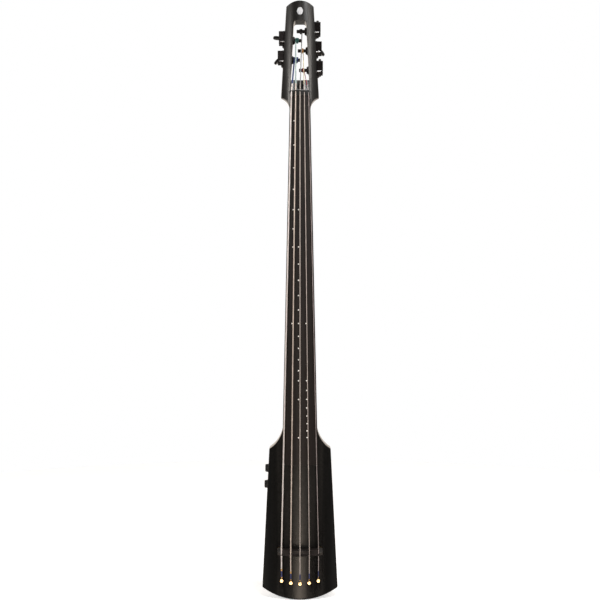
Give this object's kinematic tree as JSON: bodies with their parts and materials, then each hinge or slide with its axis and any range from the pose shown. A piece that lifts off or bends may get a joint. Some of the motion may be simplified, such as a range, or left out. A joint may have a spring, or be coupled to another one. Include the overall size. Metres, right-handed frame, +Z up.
{
  "type": "electric upright bass",
  "caption": "Stick-type electric upright bass: slim convex body, long fretless neck, open slotted head with side tuners, arched height-adjustable bridge and two edge-mounted controls.",
  "frame": {"origin": "mouth of the stand socket, at the outer face of the stand plate on the back of the body", "axes": "+Z up the neck towards the head, +Y out of the back, -Y the playing side, +X towards the thin strings"},
  "size_m": [0.1784, 0.1017, 1.3985],
  "materials": {
    "satin_black": "satin polyurethane over maple",
    "neck_black": "satin polyurethane over maple",
    "board": "oiled dark hardwood",
    "dot_white": "polished",
    "nut_black": "smooth",
    "steel": "plain",
    "inlay": "pearl",
    "string_steel": "flat wound tape",
    "brass": "turned",
    "tuner_black": "black chrome",
    "key_black": "black chrome",
    "bronze_gear": "cut",
    "bridge_black": "stained black",
    "screw_black": "black oxide",
    "knob_black": "fluted",
    "cover_black": "fine texture",
    "pot_metal": "cast",
    "wire": "insulated",
    "piezo": "plated strip"
  },
  "bodies": {
    "root": {"body": "satin_black", "neck": "neck_black", "fingerboard": "board", "position_dots": "dot_white", "nut": "nut_black", "truss_rod": "steel", "truss_rod_nut": "screw_black", "head_inlay": "inlay", "bridge_inserts": "brass", "string_ball_ends": "brass", "tuner_covers": "tuner_black", "tuner_bushings": "tuner_black", "tuner_screws": "screw_black", "pots": "pot_metal", "pot_nuts": "steel", "output_jack": "steel", "jack_nut": "steel", "cavity_cover": "cover_black", "back_screws": "screw_black", "stand_plate": "screw_black", "neck_bolts": "screw_black", "wiring": "wire", "string_1": "string_steel", "tuner_housing_1": "tuner_black", "string_2": "string_steel", "tuner_housing_2": "tuner_black", "string_3": "string_steel", "tuner_housing_3": "tuner_black", "string_4": "string_steel", "tuner_housing_4": "tuner_black", "string_5": "string_steel", "tuner_housing_5": "tuner_black"},
    "key_1": {"tuner_key_1": "key_black", "tuner_worm_1": "steel"},
    "post_1": {"tuner_post_1": "tuner_black", "tuner_gear_1": "bronze_gear"},
    "key_2": {"tuner_key_2": "key_black", "tuner_worm_2": "steel"},
    "post_2": {"tuner_post_2": "tuner_black", "tuner_gear_2": "bronze_gear"},
    "key_3": {"tuner_key_3": "key_black", "tuner_worm_3": "steel"},
    "post_3": {"tuner_post_3": "tuner_black", "tuner_gear_3": "bronze_gear"},
    "key_4": {"tuner_key_4": "key_black", "tuner_worm_4": "steel"},
    "post_4": {"tuner_post_4": "tuner_black", "tuner_gear_4": "bronze_gear"},
    "key_5": {"tuner_key_5": "key_black", "tuner_worm_5": "steel"},
    "post_5": {"tuner_post_5": "tuner_black", "tuner_gear_5": "bronze_gear"},
    "bridge": {"bridge": "bridge_black", "bridge_piezo": "piezo"},
    "bridge_screw_bass": {"bridge_screw_bass": "screw_black"},
    "bridge_screw_treble": {"bridge_screw_treble": "screw_black"},
    "volume_knob": {"volume_knob": "knob_black", "volume_shaft": "steel"},
    "tone_knob": {"tone_knob": "knob_black", "tone_shaft": "steel"}
  },
  "joints": [
    {"name": "key_1_turn", "type": "hinge", "parent": "root", "child": "key_1", "pos_m": [-0.04573, -0.045, 1.0693], "axis": [0, 1, 0], "continuous": true},
    {"name": "post_1_turn", "type": "hinge", "parent": "root", "child": "post_1", "pos_m": [-0.02, -0.058, 1.0572], "axis": [1, 0, 0], "continuous": true},
    {"name": "key_2_turn", "type": "hinge", "parent": "root", "child": "key_2", "pos_m": [-0.04298, -0.045, 1.1151], "axis": [0, 1, 0], "continuous": true},
    {"name": "post_2_turn", "type": "hinge", "parent": "root", "child": "post_2", "pos_m": [-0.02, -0.058, 1.103], "axis": [1, 0, 0], "continuous": true},
    {"name": "key_3_turn", "type": "hinge", "parent": "root", "child": "key_3", "pos_m": [0.0417, -0.045, 1.1365], "axis": [0, 1, 0], "continuous": true},
    {"name": "post_3_turn", "type": "hinge", "parent": "root", "child": "post_3", "pos_m": [0.02, -0.058, 1.1244], "axis": [1, 0, 0], "continuous": true},
    {"name": "key_4_turn", "type": "hinge", "parent": "root", "child": "key_4", "pos_m": [0.04442, -0.045, 1.0911], "axis": [0, 1, 0], "continuous": true},
    {"name": "post_4_turn", "type": "hinge", "parent": "root", "child": "post_4", "pos_m": [0.02, -0.058, 1.079], "axis": [1, 0, 0], "continuous": true},
    {"name": "key_5_turn", "type": "hinge", "parent": "root", "child": "key_5", "pos_m": [0.04717, -0.045, 1.0453], "axis": [0, 1, 0], "continuous": true},
    {"name": "post_5_turn", "type": "hinge", "parent": "root", "child": "post_5", "pos_m": [0.02, -0.058, 1.0332], "axis": [1, 0, 0], "continuous": true},
    {"name": "bridge_height", "type": "slide", "parent": "root", "child": "bridge", "axis": [0, -1, 0], "range_m": [-0.0015, 0.0015], "deforming": ["string_1", "string_2", "string_3", "string_4", "string_5"]},
    {"name": "bass_screw_turn", "type": "hinge", "parent": "bridge", "child": "bridge_screw_bass", "pos_m": [-0.0475, -0.07, -0.091], "axis": [0, -1, 0], "range_deg": [-541, 541]},
    {"name": "treble_screw_turn", "type": "hinge", "parent": "bridge", "child": "bridge_screw_treble", "pos_m": [0.0475, -0.07, -0.091], "axis": [0, -1, 0], "range_deg": [-541, 541]},
    {"name": "volume_turn", "type": "hinge", "parent": "root", "child": "volume_knob", "pos_m": [-0.08, -0.027, 0.0943], "axis": [-1, 0, 0], "range_deg": [-150, 150]},
    {"name": "tone_turn", "type": "hinge", "parent": "root", "child": "tone_knob", "pos_m": [-0.08, -0.027, 0.0564], "axis": [-1, 0, 0], "range_deg": [-150, 150]}
  ],
  "couplings": [
    {"joint": "post_1_turn", "follows": "key_1_turn", "ratio": -0.05},
    {"joint": "post_2_turn", "follows": "key_2_turn", "ratio": -0.05},
    {"joint": "post_3_turn", "follows": "key_3_turn", "ratio": 0.05},
    {"joint": "post_4_turn", "follows": "key_4_turn", "ratio": 0.05},
    {"joint": "post_5_turn", "follows": "key_5_turn", "ratio": 0.05},
    {"joint": "bass_screw_turn", "follows": "bridge_height", "rad_per_m": 6283.2},
    {"joint": "treble_screw_turn", "follows": "bridge_height", "rad_per_m": 6283.2}
  ]
}
